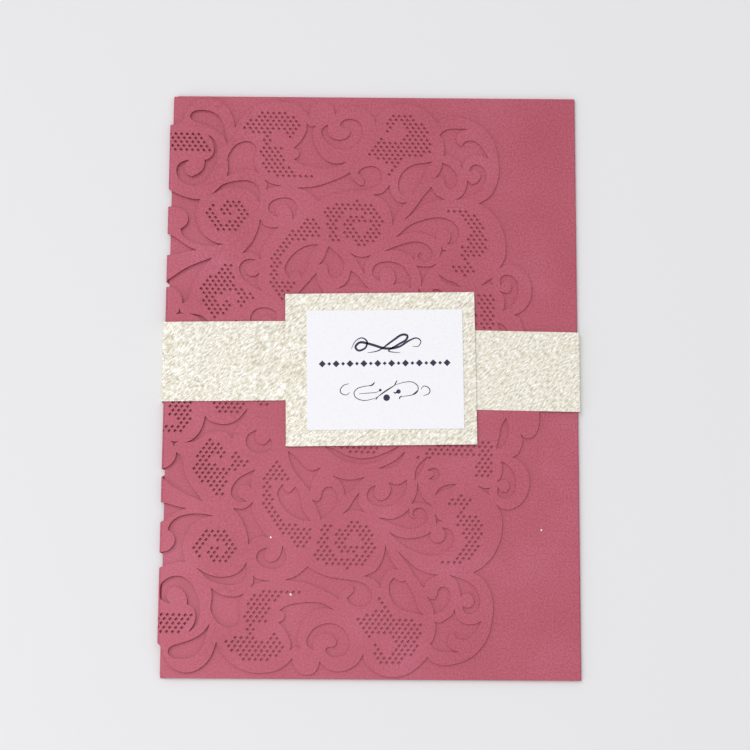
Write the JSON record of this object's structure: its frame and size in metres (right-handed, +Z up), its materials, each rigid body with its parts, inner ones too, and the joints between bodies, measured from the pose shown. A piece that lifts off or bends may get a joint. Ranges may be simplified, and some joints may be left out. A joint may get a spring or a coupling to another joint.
{
  "type": "laser-cut invitation card",
  "caption": "Folded pearl card folder with a laser-cut scroll lace flap, held shut by a paper band that carries a small tag, with a plain sheet inside.",
  "frame": {"origin": "under the middle of the card, on the surface it lies on, which is the underside of the band", "axes": "+X to the card's right edge, +Y to its top edge, +Z up out of its front"},
  "size_m": [0.1291, 0.183, 0.003],
  "materials": {
    "pearl_card": "pearl card, dusty rose, with a soft sheen and browned laser-cut edges",
    "sheet_card": "smooth matte white card",
    "glitter_paper": "champagne glitter paper with a fine grain",
    "glitter_card": "champagne glitter card with a fine grain",
    "white_card": "smooth matte white card with dark blue printed ornament"
  },
  "bodies": {
    "root": {"folder": "pearl_card", "insert_card": "sheet_card", "belly_band": "glitter_paper", "tag_mat": "glitter_card", "tag_card": "white_card"}
  },
  "joints": []
}
